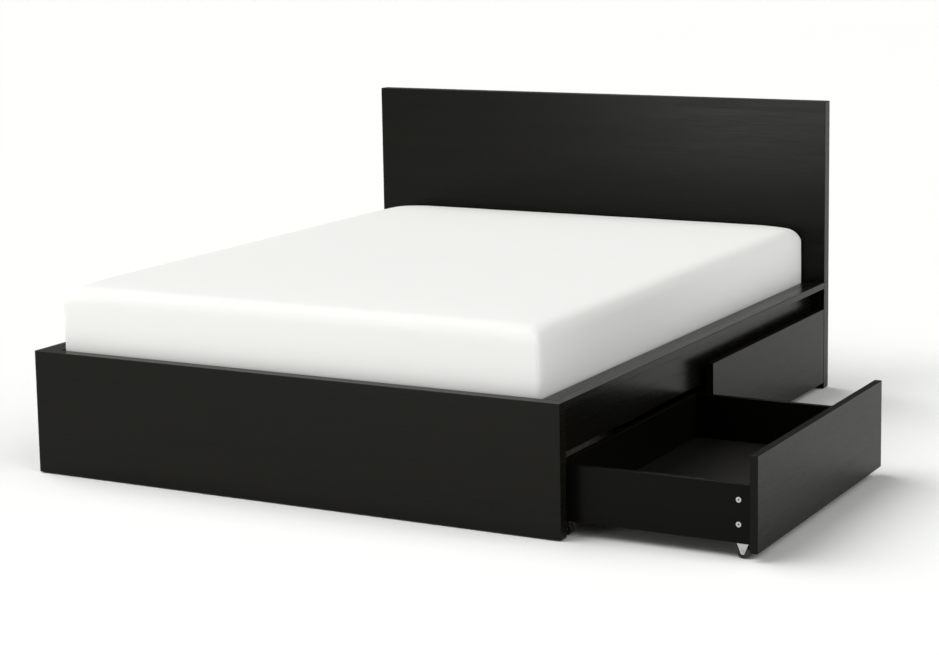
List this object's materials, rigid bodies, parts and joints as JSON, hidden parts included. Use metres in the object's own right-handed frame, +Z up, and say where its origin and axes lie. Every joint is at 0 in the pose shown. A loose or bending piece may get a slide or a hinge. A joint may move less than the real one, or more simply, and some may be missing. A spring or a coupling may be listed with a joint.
{
  "type": "platform bed with storage drawers",
  "caption": "Low platform bed with a tall plain headboard, a low footboard, side ledges, a slatted base with mattress, and roll-out storage drawers on castors under one side.",
  "frame": {"origin": "on the floor at the middle of the bed, at the centre of the centre leg's foot", "axes": "+X across the bed towards the side with the drawers, +Y from the footboard to the headboard, +Z up"},
  "size_m": [2.305, 2.09, 1],
  "materials": {
    "black_brown_wood": "stained black-brown veneer, satin lacquer",
    "drawer_box_foil": "black-brown foil on particle board, satin",
    "drawer_bottom_board": "printed fibreboard, semi-matt",
    "pale_wood": "untreated pine and beech, planed",
    "galvanised_steel": "galvanised sheet, dull spangle",
    "zinc_steel": "bright zinc plate",
    "black_plastic": "moulded polypropylene",
    "black_wheel_plastic": "moulded nylon wheel with a soft tread",
    "webbing": "woven polyester tape",
    "white_sheet": "plain-woven white cotton fitted sheet"
  },
  "bodies": {
    "root": {"headboard_upper_panel": "black_brown_wood", "headboard_lower_panel": "black_brown_wood", "headboard_joining_plates": "zinc_steel", "footboard_panel": "black_brown_wood", "ledge_left": "black_brown_wood", "ledge_right": "black_brown_wood", "side_rail_left": "black_brown_wood", "side_rail_right": "black_brown_wood", "slat_angles": "galvanised_steel", "midbeam": "galvanised_steel", "midbeam_brackets": "zinc_steel", "centre_leg": "galvanised_steel", "centre_foot": "black_plastic", "slats_left": "pale_wood", "slats_right": "pale_wood", "slat_webbing": "webbing", "rail_studs": "zinc_steel", "rail_barrel_nuts": "zinc_steel", "board_dowels": "pale_wood", "frame_screws": "zinc_steel", "floor_glides": "black_plastic", "mattress": "white_sheet"},
    "foot_drawer": {"foot_drawer_front": "black_brown_wood", "foot_drawer_side_foot": "drawer_box_foil", "foot_drawer_side_head": "drawer_box_foil", "foot_drawer_back": "drawer_box_foil", "foot_drawer_bottom_boards": "drawer_bottom_board", "foot_drawer_bottom_strip": "pale_wood", "foot_drawer_cam_locks": "zinc_steel", "foot_drawer_cam_bolts": "zinc_steel", "foot_drawer_dowels": "pale_wood", "foot_drawer_castor_screws": "zinc_steel", "foot_drawer_castor_brackets": "zinc_steel", "foot_drawer_castor_axles": "zinc_steel"},
    "foot_drawer_wheel_1": {"foot_drawer_wheel_1": "black_wheel_plastic"},
    "foot_drawer_wheel_2": {"foot_drawer_wheel_2": "black_wheel_plastic"},
    "foot_drawer_wheel_3": {"foot_drawer_wheel_3": "black_wheel_plastic"},
    "foot_drawer_wheel_4": {"foot_drawer_wheel_4": "black_wheel_plastic"},
    "head_drawer": {"head_drawer_front": "black_brown_wood", "head_drawer_side_foot": "drawer_box_foil", "head_drawer_side_head": "drawer_box_foil", "head_drawer_back": "drawer_box_foil", "head_drawer_bottom_boards": "drawer_bottom_board", "head_drawer_bottom_strip": "pale_wood", "head_drawer_cam_locks": "zinc_steel", "head_drawer_cam_bolts": "zinc_steel", "head_drawer_dowels": "pale_wood", "head_drawer_castor_screws": "zinc_steel", "head_drawer_castor_brackets": "zinc_steel", "head_drawer_castor_axles": "zinc_steel"},
    "head_drawer_wheel_1": {"head_drawer_wheel_1": "black_wheel_plastic"},
    "head_drawer_wheel_2": {"head_drawer_wheel_2": "black_wheel_plastic"},
    "head_drawer_wheel_3": {"head_drawer_wheel_3": "black_wheel_plastic"},
    "head_drawer_wheel_4": {"head_drawer_wheel_4": "black_wheel_plastic"}
  },
  "joints": [
    {"name": "foot_drawer_roll", "type": "slide", "parent": "root", "child": "foot_drawer", "axis": [1, 0, 0], "range_m": [-0.545, 0.055]},
    {"name": "foot_wheel_1_spin", "type": "hinge", "parent": "foot_drawer", "child": "foot_drawer_wheel_1", "pos_m": [1.375, -0.975, 0.018], "axis": [0, 1, 0], "continuous": true},
    {"name": "foot_wheel_2_spin", "type": "hinge", "parent": "foot_drawer", "child": "foot_drawer_wheel_2", "pos_m": [0.863, -0.975, 0.018], "axis": [0, 1, 0], "continuous": true},
    {"name": "foot_wheel_3_spin", "type": "hinge", "parent": "foot_drawer", "child": "foot_drawer_wheel_3", "pos_m": [1.375, -0.045, 0.018], "axis": [0, 1, 0], "continuous": true},
    {"name": "foot_wheel_4_spin", "type": "hinge", "parent": "foot_drawer", "child": "foot_drawer_wheel_4", "pos_m": [0.863, -0.045, 0.018], "axis": [0, 1, 0], "continuous": true},
    {"name": "head_drawer_roll", "type": "slide", "parent": "root", "child": "head_drawer", "axis": [1, 0, 0], "range_m": [0, 0.6]},
    {"name": "head_wheel_1_spin", "type": "hinge", "parent": "head_drawer", "child": "head_drawer_wheel_1", "pos_m": [0.83, 0.039, 0.018], "axis": [0, 1, 0], "continuous": true},
    {"name": "head_wheel_2_spin", "type": "hinge", "parent": "head_drawer", "child": "head_drawer_wheel_2", "pos_m": [0.318, 0.039, 0.018], "axis": [0, 1, 0], "continuous": true},
    {"name": "head_wheel_3_spin", "type": "hinge", "parent": "head_drawer", "child": "head_drawer_wheel_3", "pos_m": [0.83, 0.969, 0.018], "axis": [0, 1, 0], "continuous": true},
    {"name": "head_wheel_4_spin", "type": "hinge", "parent": "head_drawer", "child": "head_drawer_wheel_4", "pos_m": [0.318, 0.969, 0.018], "axis": [0, 1, 0], "continuous": true}
  ],
  "couplings": [
    {"joint": "foot_wheel_1_spin", "follows": "foot_drawer_roll", "rad_per_m": 55.556},
    {"joint": "foot_wheel_2_spin", "follows": "foot_drawer_roll", "rad_per_m": 55.556},
    {"joint": "foot_wheel_3_spin", "follows": "foot_drawer_roll", "rad_per_m": 55.556},
    {"joint": "foot_wheel_4_spin", "follows": "foot_drawer_roll", "rad_per_m": 55.556},
    {"joint": "head_wheel_1_spin", "follows": "head_drawer_roll", "rad_per_m": 55.556},
    {"joint": "head_wheel_2_spin", "follows": "head_drawer_roll", "rad_per_m": 55.556},
    {"joint": "head_wheel_3_spin", "follows": "head_drawer_roll", "rad_per_m": 55.556},
    {"joint": "head_wheel_4_spin", "follows": "head_drawer_roll", "rad_per_m": 55.556}
  ]
}
